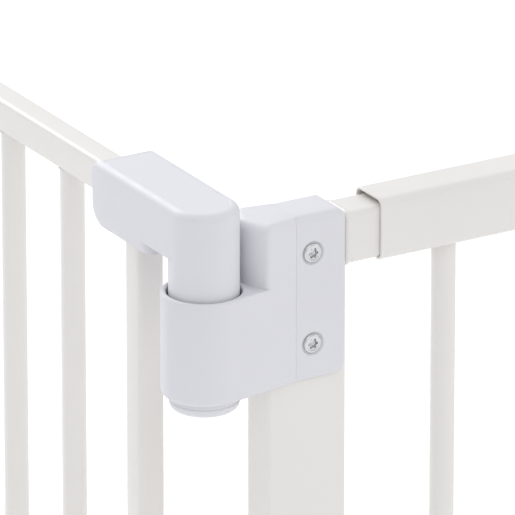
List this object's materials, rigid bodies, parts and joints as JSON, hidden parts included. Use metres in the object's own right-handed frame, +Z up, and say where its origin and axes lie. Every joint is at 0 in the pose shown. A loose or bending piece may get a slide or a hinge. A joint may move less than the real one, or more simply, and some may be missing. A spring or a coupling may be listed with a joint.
{
  "type": "safety baby gate",
  "caption": "Walk-through child safety gate with a barred steel door on top and bottom pin hinges, a threshold frame and a telescoping side panel.",
  "frame": {"origin": "middle of the lower wall plate on the latch side, on the face that lies against the wall", "axes": "+X from the latch-side wall towards the side panel's wall, +Y along the door as it stands open, +Z up"},
  "size_m": [1.0325, 0.556, 0.7673],
  "materials": {
    "white_paint": "warm white semi-gloss powder coat",
    "pale_plastic": "cool light grey satin moulding",
    "bright_steel": "bright zinc plating"
  },
  "bodies": {
    "frame": {"hinge_post": "white_paint", "latch_post": "white_paint", "latch_post_cap": "pale_plastic", "threshold_bar": "white_paint", "threshold_plug_latch_end": "pale_plastic", "threshold_plug_hinge_end": "pale_plastic", "inner_top_rail": "white_paint", "inner_bottom_rail": "white_paint", "inner_bar_1": "white_paint", "inner_bar_2": "white_paint", "bolt_strike": "pale_plastic", "peg_strike": "pale_plastic", "latch_wall_plate_lower": "white_paint", "latch_wall_plate_upper": "white_paint", "top_hinge_bracket": "pale_plastic", "top_hinge_pin": "bright_steel", "top_hinge_pin_cap": "pale_plastic", "top_bracket_screw_1": "bright_steel", "top_bracket_screw_2": "bright_steel", "bottom_hinge_bracket": "pale_plastic", "bottom_hinge_pin": "bright_steel", "bottom_hinge_pin_cap": "pale_plastic", "bottom_bracket_screw_1": "bright_steel", "bottom_bracket_screw_2": "bright_steel"},
    "side_panel": {"top_sleeve": "white_paint", "bottom_sleeve": "white_paint", "outer_bar_1": "white_paint", "outer_bar_2": "white_paint", "outer_bar_3": "white_paint", "wall_post": "white_paint", "wall_post_top_plug": "pale_plastic", "wall_post_foot_plug": "pale_plastic", "panel_wall_plate_lower": "white_paint", "panel_wall_plate_upper": "white_paint"},
    "door": {"door_top_rail": "white_paint", "door_bottom_rail": "white_paint", "door_hinge_upright": "white_paint", "door_latch_upright": "white_paint", "door_bar_1": "white_paint", "door_bar_2": "white_paint", "door_bar_3": "white_paint", "door_bar_4": "white_paint", "door_bar_5": "white_paint", "door_bar_6": "white_paint", "top_hinge_arm": "pale_plastic", "top_arm_screw": "bright_steel", "bottom_hinge_arm": "pale_plastic", "bottom_arm_screw": "bright_steel", "latch_housing": "pale_plastic", "latch_housing_screw": "bright_steel", "button_spring": "bright_steel", "catch_peg": "pale_plastic"},
    "latch": {"latch_bolt": "pale_plastic", "thumb_slide": "pale_plastic"},
    "button": {"release_button": "pale_plastic"}
  },
  "joints": [
    {"name": "door_hinge", "type": "hinge", "parent": "frame", "child": "door", "pos_m": [0.5892, 0, 0.29], "axis": [0, 0, 1], "range_deg": [-20, 90]},
    {"name": "panel_slide", "type": "slide", "parent": "frame", "child": "side_panel", "axis": [1, 0, 0], "range_m": [-0.013, 0.045]},
    {"name": "latch_slide", "type": "slide", "parent": "door", "child": "latch", "axis": [0, 1, 0], "range_m": [0, 0.012]},
    {"name": "button_press", "type": "slide", "parent": "door", "child": "button", "axis": [1, 0, 0], "range_m": [0, 0.0025], "stiffness_N_per_m": 400, "springref_m": -0.002, "deforming": ["button_spring"]}
  ]
}
